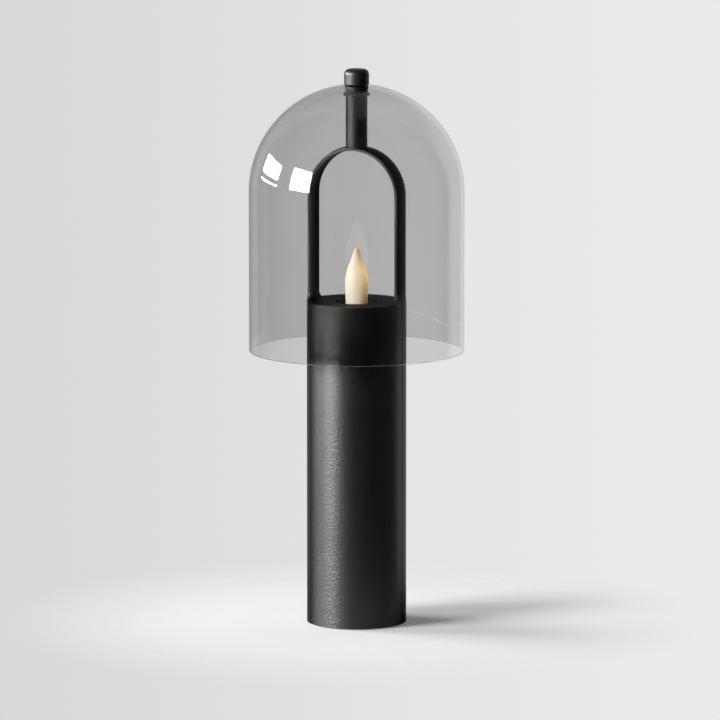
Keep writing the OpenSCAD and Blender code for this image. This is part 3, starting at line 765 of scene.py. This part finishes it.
def makeFloor():
    startFresh()
    sides = stageSet["floorSides"]
    bpy.ops.mesh.primitive_circle_add(vertices=sides, radius=stageSet["floorRadius"], fill_type="NGON")
    floor = bpy.context.object
    floor.name = "paleFloor"
    material, tree, shader = newMaterial("paleGround")
    tree.nodes.remove(shader)
    place = addNode(tree, "ShaderNodeTexCoord").outputs["Object"]
    reach = addNode(tree, "ShaderNodeVectorMath", {0: place}, operation="LENGTH").outputs["Value"]
    fade = addSpread(tree, reach, stageSet["fadeFrom"], stageSet["floorRadius"])
    below = addNode(tree, "ShaderNodeNewGeometry").outputs["Backfacing"]
    under = addMath(tree, "LESS_THAN", reach, stageSet["openWithin"])
    fade = addMath(tree, "MAXIMUM", fade, addMath(tree, "MAXIMUM", below, under))
    path = addNode(tree, "ShaderNodeLightPath")
    glossy = path.outputs["Is Glossy Ray"]
    tone = addNode(tree, "ShaderNodeMix", {0: glossy, 2: stageSet["floorColor"], 3: stageSet["mirrored"]})
    ground = addNode(tree, "ShaderNodeBsdfDiffuse", {"Color": tone.outputs[0]})
    seen = addMath(tree, "ADD", path.outputs["Is Camera Ray"], path.outputs["Is Transmission Ray"])
    strength = addMath(tree, "MULTIPLY", seen, stageSet["lift"])
    pale = addNode(tree, "ShaderNodeEmission", {"Strength": strength})
    lit = addNode(tree, "ShaderNodeAddShader", {0: ground.outputs[0], 1: pale.outputs[0]})
    clear = addNode(tree, "ShaderNodeBsdfTransparent")
    end = addNode(tree, "ShaderNodeMixShader", {0: fade, 1: lit.outputs[0], 2: clear.outputs[0]})
    tree.links.new(end.outputs[0], tree.nodes["Material Output"].inputs["Surface"])
    floor.data.materials.append(material)


# Surroundings: a pale backdrop for the camera, and for the lamp's faces a dim studio with a lighter wall
def makeWorld():
    world = bpy.data.worlds.new("paleStudio")
    bpy.context.scene.world = world
    world.use_nodes = True
    tree = world.node_tree
    sky = tree.nodes["Background"]
    direction = addNode(tree, "ShaderNodeTexCoord").outputs["Generated"]
    wallTurn = stageSet["wallTurn"]
    wallWay = toRight * math.sin(wallTurn) - toFront * math.cos(wallTurn)
    side = addDot(tree, direction, toRight)
    dim = addSpread(tree, side, *stageSet["rightSpan"], stageSet["dim"], stageSet["right"])
    light = addSpread(tree, side, *stageSet["wallSpan"], stageSet["wallLeft"], stageSet["wallRight"])
    fall = addSpread(tree, addHeight(tree, direction), *stageSet["wallFade"], 1, stageSet["wallHigh"])
    light = addMath(tree, "MULTIPLY", light, fall)
    reach = [math.cos(stageSet["wallFrom"]), math.cos(stageSet["wallTo"])]
    wall = addSpread(tree, addDot(tree, addHeading(tree, direction), wallWay), *reach)
    around = addNode(tree, "ShaderNodeMix", {0: wall, 2: dim, 3: light})
    spread = stageSet["backSpread"]
    backdrop = addSpread(tree, side, -spread, spread, stageSet["backLeft"], stageSet["backRight"])
    # straight to the camera, or through glass alone
    path = addNode(tree, "ShaderNodeLightPath")
    seen = addMath(tree, "ADD", path.outputs["Is Camera Ray"], path.outputs["Is Transmission Ray"])
    turned = addMath(tree, "ADD", path.outputs["Glossy Depth"], path.outputs["Diffuse Depth"])
    direct = addMath(tree, "LESS_THAN", turned, 1)
    shown = addMath(tree, "MULTIPLY", seen, direct)
    tone = addNode(tree, "ShaderNodeMix", {0: shown, 2: around.outputs[0], 3: backdrop})
    tree.links.new(tone.outputs[0], sky.inputs["Color"])


# Large soft lights on the left. Each is a pane in an upright plane: how far the plane is turned to the front,
# where the pane is along it and how high, as shares of the plane's distance, and its brightness
lightSet = {
    "distance": 6.0,
    "levelHeight": 0.281,
    "panes": {
        "rearPane": (math.radians(-3), (-0.655, -0.04), (0.127, 0.335), 54),
        "rearLowPane": (math.radians(-3), (-0.655, -0.04), (0.049, 0.069), 54),
        "frontPane": (math.radians(25), (-0.205, 0.233), (0.060, 0.428), 51),
    },
}


def addPane(name, planeTurn, along, rise, brightness):
    reach = lightSet["distance"]
    outward = toFront * math.sin(planeTurn) - toRight * math.cos(planeTurn)
    sideways = toFront * math.cos(planeTurn) + toRight * math.sin(planeTurn)
    data = bpy.data.lights.new(name, "AREA")
    data.shape = "RECTANGLE"
    data.size = (along[1] - along[0]) * reach
    data.size_y = (rise[1] - rise[0]) * reach
    data.energy = brightness * math.pi * data.size * data.size_y
    light = bpy.data.objects.new(name, data)
    bpy.context.scene.collection.objects.link(light)
    up = lightSet["levelHeight"] + sum(rise) / 2 * reach
    light.location = outward * reach + sideways * sum(along) / 2 * reach + toUp * up
    light.rotation_euler = outward.to_track_quat("Z", "Y").to_euler()
    light.visible_camera = False


def makeLights():
    for name, values in lightSet["panes"].items():
        addPane(name, *values)


makeFloor()
makeWorld()
makeLights()
print("floor, surroundings and lights set")
